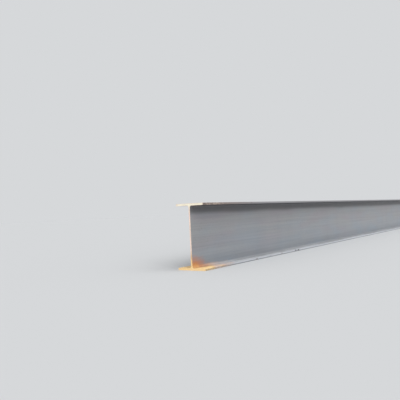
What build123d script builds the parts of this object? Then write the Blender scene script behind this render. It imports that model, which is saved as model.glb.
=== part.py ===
"""Hot-rolled steel H-beam: one straight length of stock, cut square at both ends.

The beam lies along X on its bottom flange, with its web upright in the XZ plane.
The origin is under the middle of the length, on the underside of the bottom flange.
"""

import os

from build123d import *

# Driving dimensions, in millimetres
beam_length = 9000.0
section_height = 400.0
flange_width = 200.0
web_thickness = 8.0
flange_thickness = 13.0
root_radius = 13.0
toe_outer_radius = 3.0
toe_inner_radius = 1.5


def is_root(corner):
    """A corner where the web meets a flange."""
    return abs(corner.X) < flange_width / 4


def is_inner_toe(corner):
    """A corner of a flange's edge on the side that faces the other flange."""
    return not is_root(corner) and not is_outer_toe(corner)


def is_outer_toe(corner):
    """A corner of a flange's edge on the outside of the section."""
    middle_height = section_height / 2
    return abs(corner.Y - middle_height) > middle_height - flange_thickness / 2


def rolled_section():
    """The section that the rolls leave: a web between parallel flanges, filleted at its roots and toes."""
    with BuildSketch(Plane.YZ) as section:
        with Locations((0, flange_thickness / 2), (0, section_height - flange_thickness / 2)):
            Rectangle(flange_width, flange_thickness)
        with Locations((0, section_height / 2)):
            Rectangle(web_thickness, section_height - flange_thickness)
        fillet(section.vertices().filter_by(is_outer_toe), toe_outer_radius)
        fillet(section.vertices().filter_by(is_inner_toe), toe_inner_radius)
        fillet(section.vertices().filter_by(is_root), root_radius)
    return section.sketch


def beam():
    """The section run along the whole length, half of it each way from the middle."""
    return extrude(rolled_section(), amount=beam_length / 2, both=True)


os.makedirs("parts", exist_ok=True)
export_step(beam(), "parts/h_beam.step")
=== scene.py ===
"""Looks of a hot-rolled steel H-beam: mill scale, rust at the sawn ends, a plain pale stage and a camera.

The beam lies along X on its bottom flange. Its near end is at low X and its seen side faces low Y.
"""
import math
from functools import partial
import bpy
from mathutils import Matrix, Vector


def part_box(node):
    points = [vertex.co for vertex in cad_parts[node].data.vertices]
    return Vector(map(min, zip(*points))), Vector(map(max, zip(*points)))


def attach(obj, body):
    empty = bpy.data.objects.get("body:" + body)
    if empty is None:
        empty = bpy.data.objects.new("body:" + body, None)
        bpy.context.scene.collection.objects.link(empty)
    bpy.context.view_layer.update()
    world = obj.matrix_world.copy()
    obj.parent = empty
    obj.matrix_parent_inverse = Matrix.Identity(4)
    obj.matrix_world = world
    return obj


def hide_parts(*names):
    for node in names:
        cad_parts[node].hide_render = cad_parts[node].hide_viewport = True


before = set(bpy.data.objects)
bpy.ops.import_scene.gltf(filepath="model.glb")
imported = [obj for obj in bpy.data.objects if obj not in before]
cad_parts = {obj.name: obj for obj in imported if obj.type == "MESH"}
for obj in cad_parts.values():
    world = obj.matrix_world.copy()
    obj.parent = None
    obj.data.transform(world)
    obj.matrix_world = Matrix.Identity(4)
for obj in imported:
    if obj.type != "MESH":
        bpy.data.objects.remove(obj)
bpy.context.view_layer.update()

from types import SimpleNamespace

import bpy
from bpy.props import FloatProperty, FloatVectorProperty, IntProperty, PointerProperty
from mathutils import Euler, Vector

bl_info = {
    "name": "Steel H-beam",
    "version": (1, 0, 0),
    "blender": (4, 5, 0),
    "location": "View3D > Sidebar > H-beam",
    "description": "Rolls a steel H-beam with mill scale, rust and saw burr, and sets a plain stage",
    "category": "Object",
}

BEAM_LOW, BEAM_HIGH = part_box("h_beam")
BEAM_SIZE = BEAM_HIGH - BEAM_LOW
MM = 0.001

# The kinds of node that come up most
MATH = "ShaderNodeMath"
VECTOR_MATH = "ShaderNodeVectorMath"
MAP_RANGE = "ShaderNodeMapRange"
MIX = "ShaderNodeMix"

# Soft noise runs from 0 to 1 about this middle
NOISE_MIDDLE = 0.5

# Where the noise of nick_cells is higher than this, a flange edge is nicked
NICK_START = 0.64

# A face that looks along the beam by more than this, out of 1, is a sawn one
SAWN_STEEPNESS = 0.9

# Layout of the flat map, in shares of its side: a band for each half of the beam, then the sawn faces
MAP_MIDDLE = 0.5
BAND_CROWDING = 0.8
BAND_LENGTH = 0.985
BAND_OUTER_END = 0.495
BAND_WIDTH = 0.41
BANDS_START = 0.225
BANDS_SHIFT = 0.215
SAWN_GAP = 0.02
SAWN_HEIGHT = 0.46
SAWN_WIDTH = 0.12
SAWN_MIDDLE = 0.93

# Length and height of the rust that climbs the web's low corner at an end
CORNER_LENGTH = 180 * MM
CORNER_HEIGHT = 95 * MM

# Distances from the near end to the two chips in the bottom flange's seen edge, and their half sizes in mm
CHIPS_FROM_END = (1.252, 1.303)
CHIP_REACH = (14, 9, 11)

# Heights between which the golden rust of a cut's low part fades out
CUT_GOLD_FULL = 50 * MM
CUT_GOLD_END = 120 * MM


def linear(hex_colour):
    """Turns an sRGB hex colour into the linear red, green, blue and full alpha that the shaders take."""
    shares = [int(hex_colour[place:place + 2], 16) / 255 for place in (0, 2, 4)]
    return [share / 12.92 if share <= 0.04045 else ((share + 0.055) / 1.055) ** 2.4 for share in shares] + [1]


def add_node(tree, kind, *values, output=0, **settings):
    """Adds a node with its settings, feeds its inputs in order and gives one output, or all for None.

    A map range's values are what it reads, the two ends of its stretch, and what they turn into. A math node
    adds unless its operation says otherwise.
    """
    node = tree.nodes.new(kind)
    for name, setting in settings.items():
        setattr(node, name, setting)
    for socket, value in zip([socket for socket in node.inputs if socket.enabled], values):
        if isinstance(value, bpy.types.NodeSocket):
            tree.links.new(value, socket)
        elif value is not None:
            socket.default_value = value
    outputs = [socket for socket in node.outputs if socket.enabled]
    return outputs if output is None else outputs[output]


def colour_property(name, description, hex_colour):
    """A colour that a user can change, with its default written as sRGB hex."""
    colour = linear(hex_colour)
    return FloatVectorProperty(
        name=name, description=description, default=colour, size=4, subtype="COLOR", min=0, max=1
    )


def length_property(name, description, metres):
    """A length that a user can change, in metres."""
    return FloatProperty(
        name=name, description=description, default=metres, min=0, precision=4,
        subtype="DISTANCE", unit="LENGTH",
    )


def angle_property(name, description, degrees):
    """An angle that a user can change, with its default written in degrees."""
    angle = math.radians(degrees)
    return FloatProperty(name=name, description=description, default=angle, subtype="ANGLE", unit="ROTATION")


def number_property(name, description, value):
    """A plain number that a user can change."""
    return FloatProperty(name=name, description=description, default=value, min=0)


class BeamSizes(bpy.types.PropertyGroup):
    """Sizes of the rolled section and of what rolling, sawing and handling leave on it."""

    length: length_property("Length", "Length of the stock", BEAM_SIZE.x)
    height: length_property("Height", "Height of the section over both flanges", BEAM_SIZE.z)
    width: length_property("Width", "Width of the flanges", BEAM_SIZE.y)
    web: length_property("Web", "Thickness of the web", 8 * MM)
    flange: length_property("Flange", "Thickness of the flanges", 13 * MM)
    root_radius: length_property("Root radius", "Fillet between web and flange", 13 * MM)
    outer_toe_radius: length_property("Outer toe radius", "Rounding of a flange's outer corners", 3 * MM)
    inner_toe_radius: length_property("Inner toe radius", "Rounding of a flange's inner corners", 1.5 * MM)
    nick_depth: length_property("Nick depth", "Depth of the nicks in the flange edges", 2.5 * MM)
    roll_wave: length_property("Roll wave", "How far flange edges and web stray from straight", 0.8 * MM)
    burr: length_property("Burr", "Largest radius of the ragged lip round a saw cut", 1.1 * MM)
    flake: length_property("Flake", "Length of an average loose flake of scale", 4 * MM)
    rings: IntProperty(name="Rings", description="Rings of points along the beam", default=380, min=20)
    flakes: number_property("Flakes", "Loose flakes to a square metre of ledge", 900)


class BeamFinish(bpy.types.PropertyGroup):
    """Colours of the steel's surfaces."""

    scale_plain: colour_property("Mill scale", "Neutral grey of the scale on the web", "949597")
    scale_blue: colour_property("Blue scale", "Blue-grey clouds in the scale", "8E959D")
    scale_violet: colour_property("Violet scale", "Warm violet-grey clouds in the scale", "959196")
    # Dark scale of chips and loose flakes, and the colour of the painted shade on undersides and under the
    # top flange
    dark_scale_and_shade: colour_property("Dark scale and shade", "Dark scale, and painted shade on undersides and under the top flange", "565557")
    spall_dark: colour_property("Spalled spot", "Bottom of a spot that the scale has left", "66605E")
    ledge_dust: colour_property("Ledge dust", "Pale dust that lies on upward faces", "D3D6DB")
    # Grime in the ledge's dust, and the painted shade on the ledge by the web
    ledge_grime_and_shade: colour_property("Ledge grime", "Darker patches in that dust, and painted shade by the web", "96989C")
    toe_grey: colour_property("Toe grey", "Edges of the top flange along the beam", "8D8C8F")
    toe_pale: colour_property("Low toe", "Dusty edges of the bottom flange", "C0C3C9")
    # Painted shade along the bottom flange's lower corner
    toe_foot_shade: colour_property("Foot", "Painted shade along the lower corner of the bottom flange", "75787F")
    toe_rosy: colour_property("Toe rust", "Top flange's edges near a cut, and rusty spots", "80726B")
    rust_pale: colour_property("Rust bloom", "Pale bloom in spots on the flange edges", "E2CFC0")
    rust_blush: colour_property("Rust blush", "Outer fringe of the rust on the ledge", "DDC0B0")
    rust_haze: colour_property("Rust haze", "Thin brown rust that fades out up the web", "B4785F")
    rust_salmon: colour_property("Rust crumbs", "Rust in blotches and crumbs at the saw cuts", "C0A08C")
    rust_orange: colour_property("Rust", "Fresh rust in the corner of web and flange", "BC8242")
    rust_gold: colour_property("Bright rust", "Yellow rust on the ledge beside a sawn end", "FFDD9E")
    rust_dark: colour_property("Old rust", "Dark rust in nicks, chips and specks", "4D3A33")
    sawn_bare: colour_property("Sawn metal", "Bare metal between the rust of a sawn face", "BDB8B0")
    sawn_cream: colour_property("Sawn top", "Sawn face of the top flange", "FFF7DF")
    sawn_peach: colour_property("Sawn web", "Sawn face of the web", "F8E0D2")
    sawn_gold: colour_property("Sawn bottom", "Sawn face of the bottom flange", "FFDCA0")


class StageSettings(bpy.types.PropertyGroup):
    """Where the camera stands and how the stage is lit."""

    eye_back: length_property("Eye back", "Distance of the camera before the near end", 2.292)
    eye_side: length_property("Eye side", "Distance of the camera from the web, across the beam", 1.724)
    eye_height: length_property("Eye height", "Height of the camera above the floor", 0.341)
    heading: angle_property("Heading", "Turn of the view from the beam's axis", 35.6)
    pitch: angle_property("Pitch", "Upward tilt of the view", 1.52)
    roll: angle_property("Roll", "Clockwise lean of the camera", 2.61)
    lens: FloatProperty(
        name="Lens", description="Focal length on a sensor 36 mm wide", default=43.24, unit="CAMERA"
    )
    key: number_property("Key lamp", "Strength of the lamp at the front", 1.3)
    top: number_property("Top lamp", "Strength of the lamp overhead", 1.26)
    air: number_property("Air", "Strength of the light from all round", 0.5)
    floor_colour: colour_property("Floor", "Colour of the floor and of what lies behind", "D6D8DA")


def start_tree(name, sizes):
    """A geometry tree with one named input for each size.

    It gives the tree, the way to add a node to it, and the sizes by name, with the halves of the main ones.
    """
    tree = bpy.data.node_groups.new(name, "GeometryNodeTree")
    tree.interface.new_socket("Geometry", in_out="OUTPUT", socket_type="NodeSocketGeometry")
    for size_name, value in sizes.items():
        kind = "NodeSocketInt" if isinstance(value, int) else "NodeSocketFloat"
        tree.interface.new_socket(size_name, in_out="INPUT", socket_type=kind)
    put = partial(add_node, tree)
    size = dict(zip(sizes, put("NodeGroupInput", output=None)))
    for whole in ("Length", "Height", "Width", "Web"):
        size["Half " + whole.lower()] = put(MATH, size[whole], 0.5, operation="MULTIPLY")
    return tree, put, size


def grow(name, tree, result, sizes, *finishes):
    """Ends the tree with real geometry and its finishes, each with the faces it is for, and runs it.

    What it leaves is a plain mesh object of that name.
    """
    result = add_node(tree, "GeometryNodeRealizeInstances", result)
    for faces, finish in finishes:
        result = add_node(tree, "GeometryNodeSetMaterial", result, faces, finish)
    add_node(tree, "NodeGroupOutput", result, output=None)
    empty = bpy.data.meshes.new(name + "_empty")
    piece = bpy.data.objects.new(name, empty)
    bpy.context.scene.collection.objects.link(piece)
    modifier = piece.modifiers.new(name, "NODES")
    modifier.node_group = tree
    for item in tree.interface.items_tree:
        if item.in_out == "INPUT":
            modifier[item.identifier] = sizes[item.name]
    bpy.context.view_layer.update()
    depsgraph = bpy.context.evaluated_depsgraph_get()
    mesh = bpy.data.meshes.new_from_object(
        piece.evaluated_get(depsgraph), preserve_all_data_layers=True, depsgraph=depsgraph
    )
    piece.modifiers.remove(modifier)
    piece.data = mesh
    mesh.name = name
    bpy.data.meshes.remove(empty)
    if not mesh.polygons:
        raise RuntimeError(name + " came out empty")

    # A primitive brings an empty material slot with it
    for slot in reversed(range(len(mesh.materials))):
        if mesh.materials[slot] is None:
            mesh.materials.pop(index=slot)
    return piece


def section_sizes(sizes):
    """The sizes that the section's outline is drawn from, under the names of their sockets."""
    return {
        "Length": sizes.length,
        "Height": sizes.height,
        "Width": sizes.width,
        "Web": sizes.web,
        "Flange": sizes.flange,
        "Root radius": sizes.root_radius,
        "Outer toe radius": sizes.outer_toe_radius,
        "Inner toe radius": sizes.inner_toe_radius,
    }


def section_outline(put, size, arc_points, spacing):
    """The section's outline as a closed curve round its middle.

    It has three corners to a quarter, which are root 0, inner toe 1 and outer toe 2, and every other quarter
    runs backwards. Each corner is rounded by its own radius, and long runs are cut into short ones.
    """
    corners_each = 3
    index = put("GeometryNodeInputIndex")
    quarter = put(MATH, index, corners_each, operation="DIVIDE")
    quarter = put(MATH, quarter, operation="FLOOR")
    step = put(MATH, index, corners_each, operation="MODULO")
    back_step = put(MATH, corners_each - 1, step, operation="SUBTRACT")
    is_backwards = put(MATH, quarter, 2, operation="MODULO")
    corner = put(MIX, is_backwards, step, back_step)
    is_root = put(MATH, corner, 0.5, operation="LESS_THAN")
    is_outer_toe = put(MATH, corner, 1.5, operation="GREATER_THAN")

    half_clear = put(MATH, size["Half height"], size["Flange"], operation="SUBTRACT")
    across = put(MIX, is_root, size["Half width"], size["Half web"])
    up = put(MIX, is_outer_toe, half_clear, size["Half height"])
    is_left = put(MATH, quarter, 1.5, 1, operation="COMPARE")
    is_low = put(MATH, quarter, 1.5, operation="GREATER_THAN")
    across = put(MATH, across, put(MIX, is_left, 1, -1), operation="MULTIPLY")
    up = put(MATH, up, put(MIX, is_low, 1, -1), operation="MULTIPLY")
    corners = put("GeometryNodeCurvePrimitiveCircle", 4 * corners_each)
    corners = put("GeometryNodeSetPosition", corners, None, put("ShaderNodeCombineXYZ", across, up))

    toe_radius = put(MIX, is_outer_toe, size["Inner toe radius"], size["Outer toe radius"])
    radius = put(MIX, is_root, toe_radius, size["Root radius"])
    outline = put("GeometryNodeFilletCurve", corners, arc_points, radius, False, mode="POLY")

    here = put("GeometryNodeInputPosition")
    next_index = put("GeometryNodeOffsetPointInCurve", index, 1, output=1)
    there = put("GeometryNodeFieldAtIndex", here, next_index, data_type="FLOAT_VECTOR", domain="POINT")
    run = put(VECTOR_MATH, here, there, operation="DISTANCE")
    cuts = put(MATH, run, spacing, operation="DIVIDE")
    return put("GeometryNodeSubdivideCurve", outline, put(MATH, cuts, operation="FLOOR"))


def length_line(put, size, crowding):
    """A line along the beam at half its height, its points crowded towards both ends."""
    line = put("GeometryNodeCurvePrimitiveLine", (-1, 0, 0), (1, 0, 0))
    line = put("GeometryNodeResampleCurve", line, None, size["Rings"])
    share = put("ShaderNodeSeparateXYZ", put("GeometryNodeInputPosition"))
    quarter_turn = put(MATH, share, math.pi / 2, operation="MULTIPLY")
    eased = put(MIX, crowding, share, put(MATH, quarter_turn, operation="SINE"))
    along = put(MATH, eased, size["Half length"], operation="MULTIPLY")
    place = put("ShaderNodeCombineXYZ", along, 0, size["Half height"])
    line = put("GeometryNodeSetPosition", line, None, place)
    return put("GeometryNodeSetCurveNormal", line, mode="Z_UP")


def cells(put, place, size, detail, seed):
    """Soft noise whose cells have the given length, width and height in mm, another for every seed."""
    per_metre = [1 / (edge * MM) for edge in size]
    scaled = put(VECTOR_MATH, place, per_metre, operation="MULTIPLY")
    return put("ShaderNodeTexNoise", scaled, seed, 1, detail, noise_dimensions="4D")


def patches(put, place, size, detail, seed, start, full, most=1, least=0):
    """Soft patches: least where the noise is below start, rising to most where it is over full."""
    return put(MAP_RANGE, cells(put, place, size, detail, seed), start, full, least, most)


def nick_cells(put, place):
    """Where handling has nicked the flange edges: noise in cells a thumb long, deepest where highest."""
    return cells(put, place, (60, 25, 25), 2, 1)


def wear_offset(put, size):
    """How far a point of the rolled surface moves inwards, for nicks in its edges and waves of rolling."""
    toe_depth = 22 * MM
    place = put("GeometryNodeInputPosition")
    across = put("ShaderNodeSeparateXYZ", place, output=1)
    reach = put(MATH, across, operation="ABSOLUTE")
    toe_start = put(MATH, size["Half width"], toe_depth, operation="SUBTRACT")
    near_toe = put(MAP_RANGE, reach, toe_start, size["Half width"], 0, 1, interpolation_type="SMOOTHSTEP")
    near_web = put(MAP_RANGE, reach, 5 * MM, 12 * MM, 1, 0, interpolation_type="SMOOTHSTEP")
    outward = put(MATH, across, operation="SIGN")
    inward = put(MATH, outward, -1, operation="MULTIPLY")

    nick = put(MAP_RANGE, nick_cells(put, place), NICK_START, 0.84, 0, 1)
    nick = put(MATH, nick, size["Nick depth"], operation="MULTIPLY")
    wave = put(MATH, cells(put, place, (450, 110, 160), 1, 2), size["Roll wave"], operation="MULTIPLY")
    toe_move = put(MATH, put(MATH, nick, wave), near_toe, operation="MULTIPLY")
    toe_move = put(MATH, toe_move, inward, operation="MULTIPLY")

    lean = put(MATH, cells(put, place, (700, 1000, 200), 1, 3), NOISE_MIDDLE, operation="SUBTRACT")
    lean = put(MATH, lean, size["Roll wave"], operation="MULTIPLY")
    web_move = put(MATH, lean, near_web, operation="MULTIPLY")
    return put("ShaderNodeCombineXYZ", 0, put(MATH, toe_move, web_move))


def unroll(put, size, body, lengthways):
    """Lays the body's surface out flat on a UV map, so that a baked finish is sharp where the detail is.

    Each half of the length is a band, once round the section and with the most room at the sawn end. The sawn
    faces lie side by side above the two bands.
    """
    along, across, up = put("ShaderNodeSeparateXYZ", put("GeometryNodeInputPosition"), output=None)
    face_along = put("GeometryNodeFieldOnDomain", along, data_type="FLOAT", domain="FACE")
    side = put(MATH, face_along, operation="SIGN")
    to_end = put(MATH, along, size["Half length"], operation="DIVIDE")
    to_end = put(MATH, to_end, side, operation="MULTIPLY")
    from_end = put(MATH, 1, to_end, operation="SUBTRACT")
    crowding = put(MATH, from_end, BAND_CROWDING, 1, operation="MULTIPLY_ADD")
    eased = put(MATH, from_end, crowding, operation="DIVIDE")
    stretch = (1 + BAND_CROWDING) * BAND_LENGTH
    from_middle = put(MATH, eased, stretch, -BAND_OUTER_END, operation="MULTIPLY_ADD")
    band_along = put(MATH, from_middle, side, MAP_MIDDLE, operation="MULTIPLY_ADD")

    # A corner that lies far behind its face's middle has passed the seam, and gets a whole round more
    seam_jump = 0.25
    way_round = put("GeometryNodeInputNamedAttribute", "way_round")
    face_way = put("GeometryNodeFieldOnDomain", way_round, data_type="FLOAT", domain="FACE")
    fall_back = put(MATH, face_way, way_round, operation="SUBTRACT")
    is_past_seam = put(MATH, fall_back, seam_jump, operation="GREATER_THAN")
    way_round = put(MATH, way_round, is_past_seam)
    band_start = put(MATH, side, BANDS_SHIFT, BANDS_START, operation="MULTIPLY_ADD")
    band_up = put(MATH, way_round, BAND_WIDTH, band_start, operation="MULTIPLY_ADD")

    height_share = put(MATH, up, size["Height"], operation="DIVIDE")
    sawn_along = put(MATH, height_share, SAWN_HEIGHT, SAWN_GAP, operation="MULTIPLY_ADD")
    sawn_along = put(MATH, sawn_along, side, MAP_MIDDLE, operation="MULTIPLY_ADD")
    width_share = put(MATH, across, size["Width"], operation="DIVIDE")
    sawn_up = put(MATH, width_share, -SAWN_WIDTH, SAWN_MIDDLE, operation="MULTIPLY_ADD")

    steepness = put("GeometryNodeFieldOnDomain", lengthways, data_type="FLOAT", domain="FACE")
    steepness = put(MATH, steepness, operation="ABSOLUTE")
    is_sawn = put(MATH, steepness, SAWN_STEEPNESS, operation="GREATER_THAN")
    band = put("ShaderNodeCombineXYZ", band_along, band_up)
    sawn = put("ShaderNodeCombineXYZ", sawn_along, sawn_up)
    spot = put(MIX, is_sawn, band, sawn, data_type="VECTOR")
    body = put(
        "GeometryNodeStoreNamedAttribute", body, None, "OFBake", spot, data_type="FLOAT2", domain="CORNER"
    )
    return put("GeometryNodeRemoveAttribute", body, "way_round")


def roll_body(sizes, rolled_finish, sawn_finish):
    """The beam's body: its outline swept along its length, worn a little, with its two kinds of surface."""
    sharp_fold = math.radians(40)
    values = section_sizes(sizes)
    values["Length"] -= 2 * sizes.burr
    values.update({"Nick depth": sizes.nick_depth, "Roll wave": sizes.roll_wave, "Rings": sizes.rings})
    tree, put, size = start_tree("Rolled body", values)
    outline = section_outline(put, size, arc_points=5, spacing=20 * MM)
    way_round = put("GeometryNodeSplineParameter")
    outline = put("GeometryNodeStoreNamedAttribute", outline, None, "way_round", way_round)
    body = put("GeometryNodeCurveToMesh", length_line(put, size, crowding=0.8), outline, 1, True)
    body = put("GeometryNodeSetPosition", body, None, None, wear_offset(put, size))
    lengthways = put("ShaderNodeSeparateXYZ", put("GeometryNodeInputNormal"))
    steepness = put(MATH, lengthways, operation="ABSOLUTE")
    is_sawn = put("FunctionNodeCompare", steepness, SAWN_STEEPNESS, operation="GREATER_THAN")
    is_rolled = put("FunctionNodeCompare", steepness, SAWN_STEEPNESS, operation="LESS_EQUAL")
    fold = put("GeometryNodeInputMeshEdgeAngle")
    is_sharp = put("FunctionNodeCompare", fold, sharp_fold, operation="GREATER_THAN")
    body = put("GeometryNodeSetShadeSmooth", body, None, is_rolled, domain="FACE")
    body = put("GeometryNodeSetShadeSmooth", body, is_sharp, False, domain="EDGE")
    body = unroll(put, size, body, lengthways)
    return grow("rolled_beam", tree, body, values, (None, rolled_finish), (is_sawn, sawn_finish))


def raise_burr(sizes, finish):
    """The ragged lip that the saw leaves round both ends, no wider or longer than the section itself."""
    values = section_sizes(sizes)
    values["Height"] -= 2 * sizes.burr
    values["Width"] -= 2 * sizes.burr
    values["Flange"] -= sizes.burr
    values.update({"Burr": sizes.burr, "Middle": sizes.height / 2})
    tree, put, size = start_tree("Saw burr", values)
    outline = section_outline(put, size, arc_points=5, spacing=4 * MM)
    ends, end = put("GeometryNodeDuplicateElements", outline, None, 2, domain="SPLINE", output=None)
    end_place = put(MATH, size["Half length"], size["Burr"], operation="SUBTRACT")
    other_end = put(MATH, end_place, -1, operation="MULTIPLY")
    along = put(MIX, end, other_end, end_place)
    across, up = put("ShaderNodeSeparateXYZ", put("GeometryNodeInputPosition"), output=None)[:2]
    up = put(MATH, up, size["Middle"])
    ends = put("GeometryNodeSetPosition", ends, None, put("ShaderNodeCombineXYZ", along, across, up))
    place = put("GeometryNodeInputPosition")
    raggedness = patches(put, place, (9, 9, 9), 3, 4, start=0.3, full=0.7, least=0.25)
    bead = put("GeometryNodeCurvePrimitiveCircle", 6, size["Burr"])
    burr = put("GeometryNodeCurveToMesh", ends, bead, raggedness, False)
    burr = put("GeometryNodeSetShadeSmooth", burr, None, True, domain="FACE")
    return grow("saw_burr", tree, burr, values, (None, finish))


def strew_flakes(sizes, finish):
    """Loose flakes of scale on the bottom flange, on both sides of the web and thicker near the ends."""
    margin = 9 * MM
    lean = 0.12
    least_turn = (-lean, -lean, 0)
    most_turn = (lean, lean, 2 * math.pi)
    smallest = (0.4, 0.25, 0.1)
    largest = (1.3, 0.8, 0.2)
    values = section_sizes(sizes)
    values.update({"Flake": sizes.flake, "Flakes": sizes.flakes, "Seed": 7})
    tree, put, size = start_tree("Loose scale", values)
    ledges = put("GeometryNodeMeshGrid", size["Length"], size["Width"], 2, 2)
    points = put("GeometryNodeDistributePointsOnFaces", ledges, None, size["Flakes"], size["Seed"])
    place = put("GeometryNodeInputPosition")
    along, across = put("ShaderNodeSeparateXYZ", place, output=None)[:2]
    reach = put(MATH, across, operation="ABSOLUTE")
    outer_limit = put(MATH, size["Half width"], margin, operation="SUBTRACT")
    inner_limit = put(MATH, size["Half web"], size["Root radius"])
    is_outside_root = put(MATH, reach, inner_limit, operation="GREATER_THAN")
    is_inside_toe = put(MATH, reach, outer_limit, operation="LESS_THAN")
    from_middle = put(MATH, along, operation="ABSOLUTE")
    from_end = put(MATH, size["Half length"], from_middle, operation="SUBTRACT")
    is_on_beam = put(MATH, from_end, margin, operation="GREATER_THAN")
    drift = patches(put, place, (180, 40, 1000), 2, 5, start=0.4, full=0.65, least=0.1)
    crowd = put(MAP_RANGE, from_end, 0.2, 1.2, 1, 0.35)
    wanted = put(MATH, drift, crowd, operation="MULTIPLY")
    draw = put("FunctionNodeRandomValue", 0, 1, None, 8)
    is_wanted = put(MATH, draw, wanted, operation="LESS_THAN")
    kept = put(MATH, is_outside_root, is_inside_toe, operation="MULTIPLY")
    kept = put(MATH, kept, is_on_beam, operation="MULTIPLY")
    kept = put(MATH, kept, is_wanted, operation="MULTIPLY")

    turn = put("FunctionNodeRandomValue", least_turn, most_turn, None, 9, data_type="FLOAT_VECTOR")
    shape = put("FunctionNodeRandomValue", smallest, largest, None, 10, data_type="FLOAT_VECTOR")
    half_flake = put(MATH, size["Flake"], 0.5, operation="MULTIPLY")
    pebble = put("GeometryNodeMeshIcoSphere", half_flake, 1)
    flakes = put("GeometryNodeInstanceOnPoints", points, kept, pebble, None, None, turn, shape)
    flakes = put("GeometryNodeRealizeInstances", flakes)

    # Grit 2 mm wide breaks the pebbles up into flakes, which lie a hair above the flange
    grit = put("ShaderNodeTexNoise", put("GeometryNodeInputPosition"), 1 / (2 * MM), 1, output=1)
    grit = put(VECTOR_MATH, grit, [NOISE_MIDDLE] * 3, operation="SUBTRACT")
    grit = put(VECTOR_MATH, grit, (3 * MM, 3 * MM, 0.3 * MM), operation="MULTIPLY")
    lift = put(MATH, size["Flange"], 0.25 * MM)
    offset = put(VECTOR_MATH, grit, put("ShaderNodeCombineXYZ", 0, 0, lift))
    flakes = put("GeometryNodeSetPosition", flakes, None, None, offset)
    return grow("loose_scale", tree, flakes, values, (None, finish))


def start_finish(name):
    """A new material: the material, the way to add a node to it, and its main shader's inputs."""
    material = bpy.data.materials.new(name)
    material.use_nodes = True
    shader = material.node_tree.nodes["Principled BSDF"]
    return material, partial(add_node, material.node_tree), shader.inputs


def feed(material, inputs, **values):
    """Links each value to the shader input of that name, where spaces are written as underscores."""
    for name, value in values.items():
        material.node_tree.links.new(value, inputs[name.replace("_", " ")])


def rolled_surface(put, sizes):
    """Where a point of the rolled surface is and which way it faces.

    Each layer of the scale's finish paints over its colour, and notes in it what later layers read.
    """
    place = put("ShaderNodeTexCoord", output=3)
    along, across, up = put("ShaderNodeSeparateXYZ", place, output=None)
    from_middle = put(MATH, along, operation="ABSOLUTE")
    return SimpleNamespace(
        place=place,
        up=up,
        reach=put(MATH, across, operation="ABSOLUTE"),
        from_end=put(MATH, sizes.length / 2, from_middle, operation="SUBTRACT"),
        facing=put("ShaderNodeSeparateXYZ", put("ShaderNodeTexCoord", output=1), output=2),
        sizes=sizes,
    )


def grow_skin(put, skin, finish):
    """Clouds an arm long, where the skin grew hotter or cooler, and the marks of rolling and cooling."""
    blue_share = patches(put, skin.place, (400, 120, 120), 3, 1, start=0.45, full=0.66, most=0.6)
    violet_share = patches(put, skin.place, (550, 90, 90), 3, 2, start=0.45, full=0.65, most=0.8)
    # Painted reflection of sky: the blue clouds thicken towards the web's foot
    painted_sky_blue = put(MAP_RANGE, skin.up, 70 * MM, 190 * MM, 0.5, 0)
    blue_share = put(MATH, blue_share, painted_sky_blue, use_clamp=True)
    colour = put(MIX, violet_share, finish.scale_plain, finish.scale_violet, data_type="RGBA")
    colour = put(MIX, blue_share, colour, finish.scale_blue, data_type="RGBA")

    # Roll streaks 6 mm and 22 mm high, cross marks of the cooling bed, and the skin's own grain
    skin.streaks = cells(put, skin.place, (700, 6, 6), 2, 3)
    bands = cells(put, skin.place, (1800, 22, 22), 2, 4)
    marks = put(MATH, cells(put, skin.place, (170, 1200, 1200), 3, 5), 0.5, operation="MULTIPLY")
    skin.grain = cells(put, skin.place, (9, 5, 5), 3, 6)
    long_marks = put(MATH, skin.streaks, bands)
    short_marks = put(MATH, marks, skin.grain)
    tone = put(MATH, long_marks, short_marks)
    middle = 1.75
    spread = 0.6
    contrast = 0.14
    tone = put(MAP_RANGE, tone, middle - spread, middle + spread, 1 - contrast, 1 + contrast, clamp=False)
    # Painted sheen: the skin grows lighter away from the near end, in the tone that later layers reuse
    painted_far_sheen = put(MAP_RANGE, skin.from_end, 0.3, 3.3, 0.98, 1.06)
    skin.tone = put(MATH, tone, painted_far_sheen, operation="MULTIPLY")
    # Painted shade at the web's foot: darker below 80 mm, most below 25 mm
    painted_foot_shade = put(MAP_RANGE, skin.up, 25 * MM, 80 * MM, 0.9, 1)
    colour = put(VECTOR_MATH, colour, skin.tone, operation="SCALE")
    skin.colour = put(VECTOR_MATH, colour, painted_foot_shade, operation="SCALE")


def spall_skin(put, skin, finish):
    """Spots as wide as a pea that the skin has left, some of them rusty."""
    skin.patchiness = patches(
        put, skin.place, (500, 160, 160), 1, 7, start=0.45, full=0.7, most=0.7, least=0.05
    )
    spots = patches(put, skin.place, (12, 6, 6), 3, 8, start=0.63, full=0.7)
    skin.spall = put(MATH, spots, skin.patchiness, operation="MULTIPLY")
    skin.rustiness = patches(put, skin.place, (90, 60, 60), 2, 13, start=0.5, full=0.6, most=0.7)
    spot_colour = put(MIX, skin.rustiness, finish.spall_dark, finish.toe_rosy, data_type="RGBA")
    skin.colour = put(MIX, skin.spall, skin.colour, spot_colour, data_type="RGBA")


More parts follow.
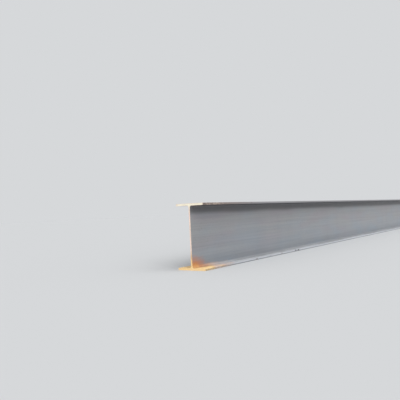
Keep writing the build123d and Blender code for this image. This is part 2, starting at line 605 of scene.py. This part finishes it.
def paint_underside_shade(put, skin, finish):
    """Painted shade on undersides, and a painted shadow of the top flange on the web, which widens away from
    the ends.
    """
    stray = 12 * MM
    start = skin.sizes.height - 76 * MM
    full = skin.sizes.height - 42 * MM
    strayed_up = put(MATH, skin.patchiness, stray, skin.up, operation="MULTIPLY_ADD")
    # The painted shadow on the web reaches lower away from the ends
    shadow_widening = put(MAP_RANGE, skin.from_end, 1.5, 4.5, 0, stray)
    strayed_up = put(MATH, strayed_up, shadow_widening)
    flange_shadow = put(MAP_RANGE, strayed_up, start, full, 0, 0.75, interpolation_type="SMOOTHSTEP")
    underside_shade = put(MAP_RANGE, skin.facing, -0.2, -0.8, 0, 1)
    shade_share = put(MATH, underside_shade, flange_shadow, operation="MAXIMUM")
    # Colour of the painted shade: dark scale, tinted towards the spall colour where the skin is rusty
    bare = put(MATH, skin.rustiness, 0.4, operation="MULTIPLY")
    bare = put(MIX, bare, finish.dark_scale_and_shade, finish.spall_dark, data_type="RGBA")
    bare = put(VECTOR_MATH, bare, skin.tone, operation="SCALE")
    skin.colour = put(MIX, shade_share, skin.colour, bare, data_type="RGBA")


def settle_dust(put, skin, finish):
    """Dust on what faces up, with grime in drifts, in runs along the beam and in grains, and grime and
    painted shade by the web.
    """
    drifts = patches(put, skin.place, (240, 60, 60), 4, 9, start=0.4, full=0.65, most=0.35)
    runs = patches(put, skin.place, (380, 9, 9), 4, 17, start=0.42, full=0.64, most=0.35)
    grains = patches(put, skin.place, (13, 8, 8), 6, 14, start=0.42, full=0.7, most=0.36)
    skin.freckles = cells(put, skin.place, (5, 4, 4), 3, 19)
    freckles = put(MAP_RANGE, skin.freckles, 0.46, 0.68, 0, 0.45)
    grains = put(MATH, grains, freckles)
    # Darker towards the web: partly grime, partly painted shade of the corner between web and ledge
    web_grime_and_shade = put(MAP_RANGE, skin.reach, 15 * MM, 75 * MM, 0.55, -0.1)
    ledge_share = put(MAP_RANGE, skin.from_end, 0.25, 0.8, 0.2, 1)
    is_ledge = put(MATH, skin.up, skin.sizes.height / 2, operation="LESS_THAN")
    ledge_share = put(MATH, ledge_share, is_ledge, operation="MULTIPLY")
    web_grime_and_shade = put(MATH, web_grime_and_shade, ledge_share, operation="MULTIPLY")
    grime = put(MATH, put(MATH, drifts, grains), runs)
    # From here the grime share also carries that painted shade
    skin.grime = put(MATH, grime, web_grime_and_shade, use_clamp=True)
    dust = put(MIX, skin.grime, finish.ledge_dust, finish.ledge_grime_and_shade, data_type="RGBA")
    skin.is_above = put(MAP_RANGE, skin.facing, 0.5, 0.95, 0, 0.95)
    skin.colour = put(MIX, skin.is_above, skin.colour, dust, data_type="RGBA")


def colour_edges(put, skin, finish):
    """The flange edges: grey above and rusty near a cut, pale and dusty below, with painted shade along the
    foot.
    """
    toe_start = skin.sizes.width / 2 - 4 * MM
    toe_full = skin.sizes.width / 2 - 2 * MM
    skin.is_toe = put(MAP_RANGE, skin.reach, toe_start, toe_full, 0, 1)
    grey_share = put(MAP_RANGE, skin.from_end, 0.15, 0.7, 0, 1)
    toe = put(MIX, grey_share, finish.toe_rosy, finish.toe_grey, data_type="RGBA")
    skin.is_low = put(MAP_RANGE, skin.up, 20 * MM, 30 * MM, 1, 0)
    toe = put(MIX, skin.is_low, toe, finish.toe_pale, data_type="RGBA")
    # Painted shade along the bottom flange's lower corner
    foot_shade_share = put(MAP_RANGE, skin.up, 3 * MM, 8 * MM, 0.85, 0)
    toe = put(MIX, foot_shade_share, toe, finish.toe_foot_shade, data_type="RGBA")
    toe = put(VECTOR_MATH, toe, skin.tone, operation="SCALE")
    skin.colour = put(MIX, skin.is_toe, skin.colour, toe, data_type="RGBA")


def rust_ledge(put, skin, finish):
    """Rust on the ledge beside the ends: gold, more orange at its root, with painted shade by the web and on
    its edge.

    A pale pink blush fringes it, and painted light brightens the rust towards the rim and next to the cut.
    """
    most_stray = 0.4
    skin.mottle = patches(put, skin.place, (30, 20, 20), 4, 15, start=0.38, full=0.64)
    skin.warp = put(MATH, cells(put, skin.place, (80, 45, 45), 5, 10), NOISE_MIDDLE, operation="SUBTRACT")
    strayed_end = put(MATH, skin.warp, most_stray, skin.from_end, operation="MULTIPLY_ADD")
    by_cut = put(MAP_RANGE, strayed_end, 60 * MM, 130 * MM, 1, 0)
    root_share = put(MAP_RANGE, skin.reach, 15 * MM, 60 * MM, 0.7, 0)
    orange_share = put(MATH, skin.mottle, 0.3, root_share, operation="MULTIPLY_ADD")
    away_from_cut = put(MAP_RANGE, by_cut, 0, 1, 1, 0.25)
    orange_share = put(MATH, orange_share, away_from_cut, operation="MULTIPLY")
    rust = put(MIX, orange_share, finish.rust_gold, finish.rust_orange, data_type="RGBA")

    # Painted shading of the rust and blush: shade towards the web, light towards the rim and next to the cut,
    # shade on the upright edge
    shade = put(MAP_RANGE, skin.reach, 20 * MM, 65 * MM, 0.8, 1.1)
    cut_shade = put(MATH, by_cut, 1.08, operation="MULTIPLY")
    shade = put(MATH, shade, cut_shade, operation="MAXIMUM")
    is_upright = put(MAP_RANGE, skin.facing, 0.2, 0.7, 1, 0)
    edge_shade = put(MATH, skin.is_toe, is_upright, operation="MULTIPLY")
    edge_shade = put(MAP_RANGE, edge_shade, 0, 1, 1, 0.45)
    shade = put(MATH, shade, edge_shade, operation="MULTIPLY")
    rust = put(VECTOR_MATH, rust, shade, operation="SCALE")
    blush_colour = put(VECTOR_MATH, finish.rust_blush[:3], shade, operation="SCALE")

    blush = put(MAP_RANGE, strayed_end, 170 * MM, 380 * MM, 0.85, 0)
    blush = put(MATH, blush, skin.is_low, operation="MULTIPLY")
    gold = put(MAP_RANGE, strayed_end, 110 * MM, 200 * MM, 0.92, 0)
    skin.gold = put(MATH, gold, skin.is_low, operation="MULTIPLY")
    skin.colour = put(MIX, blush, skin.colour, blush_colour, data_type="RGBA")
    skin.colour = put(MIX, skin.gold, skin.colour, rust, data_type="RGBA")


def rust_corner(put, skin, finish):
    """Rust in the web's low corner: golden at its foot, then orange, then a thin brown haze."""
    warp_share = 0.7
    freckle_share = 1.1
    along_share = put(MATH, skin.from_end, CORNER_LENGTH, operation="DIVIDE")
    up_share = put(MATH, skin.up, CORNER_HEIGHT, operation="DIVIDE")
    corner = put("ShaderNodeCombineXYZ", along_share, up_share)
    corner = put(VECTOR_MATH, corner, operation="LENGTH")
    corner = put(MATH, skin.warp, warp_share, corner, operation="MULTIPLY_ADD")
    freckles = put(MATH, skin.freckles, NOISE_MIDDLE, operation="SUBTRACT")
    corner = put(MATH, freckles, freckle_share, corner, operation="MULTIPLY_ADD")
    is_web = put(MAP_RANGE, skin.reach, 16 * MM, 26 * MM, 1, 0)
    haze = put(MAP_RANGE, corner, 0.45, 1, 0.9, 0)
    haze = put(MATH, haze, is_web, operation="MULTIPLY")
    skin.colour = put(MIX, haze, skin.colour, finish.rust_haze, data_type="RGBA")

    foot_gold = put(MAP_RANGE, skin.up, 20 * MM, 42 * MM, 0.25, 0)
    colour = put(MIX, foot_gold, finish.rust_orange, finish.rust_gold, data_type="RGBA")
    haze_share = put(MATH, skin.mottle, 0.4, operation="MULTIPLY")
    colour = put(MIX, haze_share, colour, finish.rust_haze, data_type="RGBA")
    rust = put(MAP_RANGE, corner, 0.3, 0.7, 0.95, 0)
    rust = put(MATH, rust, is_web, operation="MULTIPLY")
    skin.colour = put(MIX, rust, skin.colour, colour, data_type="RGBA")

    skin.rust = put(MATH, skin.gold, rust, operation="MAXIMUM")
    specks = patches(put, skin.place, (7, 5, 5), 4, 16, start=0.58, full=0.72, most=0.5)
    specks = put(MATH, specks, skin.rust, operation="MULTIPLY")
    skin.colour = put(MIX, specks, skin.colour, finish.rust_dark, data_type="RGBA")


def mark_edges(put, skin, finish):
    """Pale bloom in spots on the flange edges near the ends, and old dark rust in their nicks."""
    bloom_zone = put(MAP_RANGE, skin.from_end, 120 * MM, 300 * MM, 1, 0)
    bloom = patches(put, skin.place, (16, 12, 8), 3, 11, start=0.49, full=0.6, most=0.55)
    bloom = put(MATH, bloom, bloom_zone, operation="MULTIPLY")
    bloom = put(MATH, bloom, skin.is_toe, operation="MULTIPLY")
    skin.colour = put(MIX, bloom, skin.colour, finish.rust_pale, data_type="RGBA")
    spots = patches(put, skin.place, (18, 14, 10), 2, 12, start=0.65, full=0.7, most=0.7)
    nicks = put(MAP_RANGE, nick_cells(put, skin.place), NICK_START, 0.72, 0, 0.8)
    old_rust = put(MATH, spots, nicks, operation="MAXIMUM")
    old_rust = put(MATH, old_rust, skin.is_toe, operation="MULTIPLY")
    skin.colour = put(MIX, old_rust, skin.colour, finish.rust_dark, data_type="RGBA")


def chip_edge(put, skin, finish):
    """The ragged dark chips in the bottom flange's seen edge."""
    raggedness_share = 2.2
    sizes = skin.sizes
    raggedness = cells(put, skin.place, (14, 12, 10), 4, 18)
    raggedness = put(MATH, raggedness, NOISE_MIDDLE, operation="SUBTRACT")
    rust_share = put(MAP_RANGE, raggedness, -0.12, 0.12, 0, 0.7)
    chip_colour = put(MIX, rust_share, finish.dark_scale_and_shade, finish.rust_dark, data_type="RGBA")
    per_metre = [1 / (edge * MM) for edge in CHIP_REACH]
    for from_near_end in CHIPS_FROM_END:
        chip_place = (from_near_end - sizes.length / 2, -sizes.width / 2, sizes.flange)
        away = put(VECTOR_MATH, skin.place, chip_place, operation="SUBTRACT")
        away = put(VECTOR_MATH, away, per_metre, operation="MULTIPLY")
        away = put(VECTOR_MATH, away, operation="LENGTH")
        away = put(MATH, raggedness, raggedness_share, away, operation="MULTIPLY_ADD")
        chip = put(MAP_RANGE, away, 0.75, 1.1, 1, 0)
        skin.colour = put(MIX, chip, skin.colour, chip_colour, data_type="RGBA")
        skin.spall = put(MATH, skin.spall, chip, operation="MAXIMUM")


SCALE_LAYERS = (
    grow_skin, spall_skin, paint_underside_shade, settle_dust, colour_edges,
    rust_ledge, rust_corner, mark_edges, chip_edge,
)


def mill_scale(finish, sizes):
    """Hot-rolled steel: a dull, even, blue-grey skin of iron oxide in soft clouds, drawn out by the rolls.

    Dust pales it where it faces up, and painted shade darkens it where it faces down and on the web under the
    top flange. Rust has taken the corner of web and ledge and the flange edges beside each sawn end.
    """
    material, put, shader = start_finish("hot_rolled_mill_scale")
    skin = rolled_surface(put, sizes)
    for lay in SCALE_LAYERS:
        lay(put, skin, finish)
    covered = put(MATH, skin.is_above, skin.rust, operation="MAXIMUM")
    roughness = put(MAP_RANGE, covered, 0, 1, 0.5, 0.9)
    metallic = put(MAP_RANGE, covered, 0, 1, 0.25, 0)
    raised = put(MATH, skin.grain, skin.streaks)
    sunk = put(MATH, skin.spall, skin.grime)
    relief = put(MATH, raised, sunk, operation="SUBTRACT")
    bump = put("ShaderNodeBump", 1, 0.3 * MM, None, relief)
    feed(material, shader, Base_Color=skin.colour, Roughness=roughness, Metallic=metallic, Normal=bump)
    return material


def sawn_steel(finish, sizes):
    """Steel cut by a hot saw: bare metal flashed over with thin pale rust, cream on top and golden below.

    The curved strokes of a blade about 1.8 m wide have scored it.
    """
    material, put, shader = start_finish("hot_sawn_steel")
    place = put("ShaderNodeTexCoord", output=3)
    up = put("ShaderNodeSeparateXYZ", place, output=2)
    top_share = put(MAP_RANGE, up, sizes.height - 60 * MM, sizes.height - 14 * MM, 0, 1)
    low_share = put(MAP_RANGE, up, CUT_GOLD_FULL, CUT_GOLD_END, 1, 0)
    band_below = put(MAP_RANGE, up, 45 * MM, 75 * MM, 0, 0.6)
    band_above = put(MAP_RANGE, up, 75 * MM, CUT_GOLD_END, 1, 0)
    band = put(MATH, band_below, band_above, operation="MULTIPLY")
    colour = put(MIX, top_share, finish.sawn_peach, finish.sawn_cream, data_type="RGBA")
    colour = put(MIX, low_share, colour, finish.sawn_gold, data_type="RGBA")
    colour = put(MIX, band, colour, finish.rust_orange, data_type="RGBA")

    # Bare metal and blotches of rust, fewer on the flanges
    most_bare = 0.45
    most_blotch = 0.4
    is_flange = put(MATH, top_share, low_share, operation="MAXIMUM")
    blotchiness = put(MAP_RANGE, is_flange, 0, 1, 1, 0.35)
    bare = patches(put, place, (40, 35, 35), 4, 23, start=0.48, full=0.68, most=most_bare)
    bare = put(MATH, bare, blotchiness, operation="MULTIPLY")
    colour = put(MIX, bare, colour, finish.sawn_bare, data_type="RGBA")
    blotch = patches(put, place, (18, 14, 14), 4, 21, start=0.52, full=0.7, most=most_blotch)
    blotch = put(MATH, blotch, blotchiness, operation="MULTIPLY")
    colour = put(MIX, blotch, colour, finish.rust_salmon, data_type="RGBA")

    # Strokes of the teeth, really under 1 mm apart, are drawn 2 to 3 mm apart so that they show
    saw_middle = (0, 0.75, -0.35)
    arm = put(VECTOR_MATH, place, saw_middle, operation="SUBTRACT")
    arm_across, arm_up = put("ShaderNodeSeparateXYZ", arm, output=None)[1:]
    radius = put("ShaderNodeCombineXYZ", 0, arm_across, arm_up)
    radius = put(VECTOR_MATH, radius, operation="LENGTH")
    turn = put(MATH, arm_up, arm_across, operation="ARCTAN2")
    strokes = cells(put, put("ShaderNodeCombineXYZ", radius, turn, 0), (2.5, 120, 1000), 3, 22)
    tone = put(MAP_RANGE, strokes, 0.3, 0.7, 0.9, 1.08)
    colour = put(VECTOR_MATH, colour, tone, operation="SCALE")
    roughness = put(MAP_RANGE, blotch, 0, most_blotch, 0.5, 0.85)
    metallic = put(MAP_RANGE, bare, 0, most_bare, 0, 0.4)
    bump = put("ShaderNodeBump", 1, 0.4 * MM, None, strokes)
    feed(material, shader, Base_Color=colour, Roughness=roughness, Metallic=metallic, Normal=bump)
    return material


def burr_steel(finish):
    """Torn steel at the saw cut: thin ragged metal that rusts first, in gold and brown crumbs."""
    most_crumbs = 0.5
    material, put, shader = start_finish("torn_burr_steel")
    place = put("ShaderNodeTexCoord", output=3)
    crumbs = patches(put, place, (14, 14, 14), 4, 31, start=0.42, full=0.66, most=most_crumbs)
    up = put("ShaderNodeSeparateXYZ", place, output=2)
    low_share = put(MAP_RANGE, up, CUT_GOLD_FULL, CUT_GOLD_END, 1, 0)
    colour = put(MIX, low_share, finish.sawn_peach, finish.sawn_gold, data_type="RGBA")
    colour = put(MIX, crumbs, colour, finish.rust_salmon, data_type="RGBA")
    roughness = put(MAP_RANGE, crumbs, 0, most_crumbs, 0.6, 0.9)
    bump = put("ShaderNodeBump", 1, 0.3 * MM, None, crumbs)
    feed(material, shader, Base_Color=colour, Roughness=roughness, Normal=bump)
    return material


def flaked_scale(finish):
    """Loose mill scale: brittle dark chips of iron oxide, some of them rusty on one side."""
    material, put, shader = start_finish("flaked_mill_scale")
    place = put("ShaderNodeTexCoord", output=3)
    rusty = patches(put, place, (12, 12, 12), 1, 41, start=0.45, full=0.6)
    colour = put(MIX, rusty, finish.dark_scale_and_shade, finish.rust_salmon, data_type="RGBA")
    roughness = put(MAP_RANGE, rusty, 0, 1, 0.45, 0.9)
    feed(material, shader, Base_Color=colour, Roughness=roughness)
    return material


def floor_paint(colour):
    """Matt floor paint: pale, even and without gloss, so that nothing shows on it but the beam's shadow."""
    material, _, shader = start_finish("matt_floor_paint")
    shader["Base Color"].default_value = colour
    shader["Roughness"].default_value = 0.95
    shader["Specular IOR Level"].default_value = 0
    return material


def studio_air(colour, strength):
    """Even light from all round, which eye, gloss and glass see as a backdrop of the floor's colour."""
    world = bpy.data.worlds.new("studio_air")
    world.use_nodes = True
    put = partial(add_node, world.node_tree)
    rays = put("ShaderNodeLightPath", output=None)
    seen = {socket.name: socket for socket in rays}
    is_seen = put(MATH, seen["Is Camera Ray"], seen["Is Glossy Ray"], operation="MAXIMUM")
    is_seen = put(MATH, is_seen, seen["Is Transmission Ray"], operation="MAXIMUM")
    air = put("ShaderNodeBackground", (1, 1, 1, 1), strength)
    backdrop = put("ShaderNodeBackground", colour, 1)
    both = put("ShaderNodeMixShader", is_seen, air, backdrop)
    world.node_tree.links.new(both, world.node_tree.nodes["World Output"].inputs["Surface"])
    return world


def hang_lamp(name, strength, from_direction, softness):
    """A soft lamp that lights the whole beam evenly from a direction, as wide as its softness in degrees."""
    lamp = bpy.data.lights.new(name, "SUN")
    lamp.energy = strength
    lamp.angle = math.radians(softness)
    holder = bpy.data.objects.new(name, lamp)
    holder.rotation_mode = "QUATERNION"
    holder.rotation_quaternion = Vector(from_direction).to_track_quat("Z", "Y")
    bpy.context.scene.collection.objects.link(holder)


def stand_camera(settings, near_end):
    """The camera on its stand, beside and before the beam's near end."""
    camera = bpy.data.cameras.new("camera")
    camera.lens = settings.lens
    camera.sensor_width = 36
    camera.clip_start = 0.01
    camera.clip_end = 500
    holder = bpy.data.objects.new("camera", camera)
    holder.location = (near_end - settings.eye_back, -settings.eye_side, settings.eye_height)
    level = Euler((math.pi / 2 + settings.pitch, 0, settings.heading - math.pi / 2)).to_quaternion()
    lean = Euler((0, 0, -settings.roll)).to_quaternion()
    holder.rotation_mode = "QUATERNION"
    holder.rotation_quaternion = level @ lean
    bpy.context.scene.collection.objects.link(holder)
    return holder


class HBEAM_OT_roll_body(bpy.types.Operator):
    """Roll the beam's body with its mill scale and its sawn ends"""

    bl_idname = "hbeam.roll_body"
    bl_label = "Roll the body"

    def execute(self, context):
        sizes = context.scene.hbeam_sizes
        finish = context.scene.hbeam_finish
        body = roll_body(sizes, mill_scale(finish, sizes), sawn_steel(finish, sizes))
        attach(body, "root")
        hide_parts("h_beam")
        return {"FINISHED"}


class HBEAM_OT_raise_burr(bpy.types.Operator):
    """Raise the ragged lip that the saw leaves round both ends"""

    bl_idname = "hbeam.raise_burr"
    bl_label = "Raise the saw burr"

    def execute(self, context):
        burr = raise_burr(context.scene.hbeam_sizes, burr_steel(context.scene.hbeam_finish))
        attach(burr, "root")
        return {"FINISHED"}


class HBEAM_OT_strew_flakes(bpy.types.Operator):
    """Strew loose flakes of scale on the bottom flange"""

    bl_idname = "hbeam.strew_flakes"
    bl_label = "Strew loose scale"

    def execute(self, context):
        flakes = strew_flakes(context.scene.hbeam_sizes, flaked_scale(context.scene.hbeam_finish))
        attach(flakes, "root")
        return {"FINISHED"}


class HBEAM_OT_set_stage(bpy.types.Operator):
    """Lay the floor, hang the lamps and place the camera"""

    bl_idname = "hbeam.set_stage"
    bl_label = "Set the stage"

    def execute(self, context):
        scene = context.scene
        settings = scene.hbeam_stage
        bpy.ops.mesh.primitive_plane_add(size=160)
        floor = context.object
        floor.name = "floor"
        floor.data.materials.append(floor_paint(settings.floor_colour))
        scene.world = studio_air(settings.floor_colour, settings.air)
        hang_lamp("key_lamp", settings.key, from_direction=(-0.6, -0.7, 0.38), softness=45)
        hang_lamp("top_lamp", settings.top, from_direction=(-0.15, -0.5, 0.85), softness=70)
        scene.camera = stand_camera(settings, -scene.hbeam_sizes.length / 2)
        scene.view_settings.view_transform = "Standard"
        return {"FINISHED"}


class HBEAM_PT_sidebar(bpy.types.Panel):
    """The beam's operators, in the order in which they run, and its settings"""

    bl_label = "H-beam"
    bl_idname = "HBEAM_PT_sidebar"
    bl_space_type = "VIEW_3D"
    bl_region_type = "UI"
    bl_category = "H-beam"

    def draw(self, context):
        for operator in OPERATORS:
            self.layout.operator(operator.bl_idname)
        for group in (context.scene.hbeam_sizes, context.scene.hbeam_finish, context.scene.hbeam_stage):
            for name in group.__annotations__:
                self.layout.prop(group, name)


OPERATORS = (HBEAM_OT_roll_body, HBEAM_OT_raise_burr, HBEAM_OT_strew_flakes, HBEAM_OT_set_stage)
CLASSES = (BeamSizes, BeamFinish, StageSettings, *OPERATORS, HBEAM_PT_sidebar)


def register():
    """Adds the classes, and the settings to every scene."""
    for made in CLASSES:
        bpy.utils.register_class(made)
    bpy.types.Scene.hbeam_sizes = PointerProperty(type=BeamSizes)
    bpy.types.Scene.hbeam_finish = PointerProperty(type=BeamFinish)
    bpy.types.Scene.hbeam_stage = PointerProperty(type=StageSettings)


def unregister():
    """Takes the settings and the classes away again."""
    del bpy.types.Scene.hbeam_stage
    del bpy.types.Scene.hbeam_finish
    del bpy.types.Scene.hbeam_sizes
    for made in reversed(CLASSES):
        bpy.utils.unregister_class(made)


def main():
    """Makes the beam and its stage."""
    register()
    bpy.ops.hbeam.roll_body()
    bpy.ops.hbeam.raise_burr()
    bpy.ops.hbeam.strew_flakes()
    bpy.ops.hbeam.set_stage()


if __name__ == "__main__":
    main()
